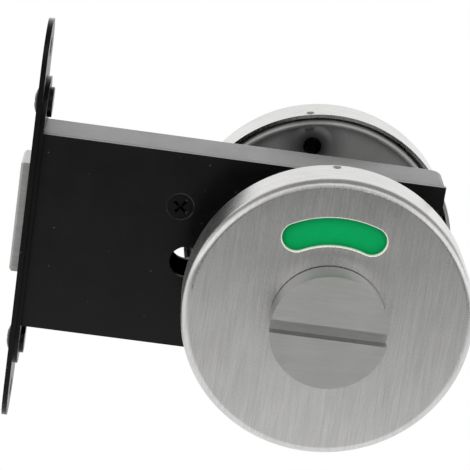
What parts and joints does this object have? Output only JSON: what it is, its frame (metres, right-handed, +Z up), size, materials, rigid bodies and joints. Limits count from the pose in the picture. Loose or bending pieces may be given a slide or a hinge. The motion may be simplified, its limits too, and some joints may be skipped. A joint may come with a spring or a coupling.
{
  "type": "bathroom thumb turn lock",
  "caption": "Mortice bathroom lock with a black sheet case, a sliding bolt, round steel roses, a coin release with an arched indicator window and a thumb turn.",
  "frame": {"origin": "centre of the faceplate's outer face, midway between its two fixing holes", "axes": "+X into the door from its edge, +Y from the outside of the room to the inside, +Z up; the spindle runs along Y at X 70 mm, Z -3 mm"},
  "size_m": [0.1047, 0.0925, 0.097],
  "materials": {
    "black_steel": "matt black coating",
    "brushed_steel": "brushed satin",
    "bolt_steel": "satin plated",
    "dull_steel": "zinc plated",
    "spring_steel": "tempered",
    "black_screw": "black oxide",
    "green_enamel": "matt enamel",
    "red_enamel": "matt enamel",
    "dark_bush": "moulded"
  },
  "bodies": {
    "case": {"faceplate": "black_steel", "inner_forend": "black_steel", "faceplate_screws": "black_screw", "forend_nuts": "black_steel", "case_body": "black_steel", "case_cover": "black_steel", "cover_post": "dull_steel", "cover_screw": "black_screw", "spring_post": "dull_steel", "detent_spring": "spring_steel", "outer_rose": "brushed_steel", "inner_rose": "brushed_steel", "outer_mount_plate": "brushed_steel", "inner_mount_plate": "brushed_steel", "outer_bush": "dark_bush", "inner_bush": "dark_bush"},
    "bolt": {"bolt_head": "bolt_steel", "bolt_tail": "dull_steel", "bolt_rivets": "dull_steel"},
    "turn": {"follower": "dull_steel", "spindle": "dull_steel", "coin_turn": "brushed_steel", "outer_retaining_ring": "spring_steel", "indicator_disc": "dull_steel", "unlocked_field": "green_enamel", "locked_field": "red_enamel", "thumb_turn": "brushed_steel", "inner_retaining_ring": "spring_steel", "grub_screw": "black_screw"}
  },
  "joints": [
    {"name": "turn_spin", "type": "hinge", "parent": "case", "child": "turn", "pos_m": [0.07, 0, -0.003], "axis": [0, -1, 0], "range_deg": [0, 90]},
    {"name": "bolt_slide", "type": "slide", "parent": "case", "child": "bolt", "axis": [-1, 0, 0], "range_m": [0, 0.014], "deforming": ["detent_spring"]}
  ],
  "couplings": [
    {"joint": "bolt_slide", "follows": "turn_spin", "m_per_rad": 0.00891}
  ]
}
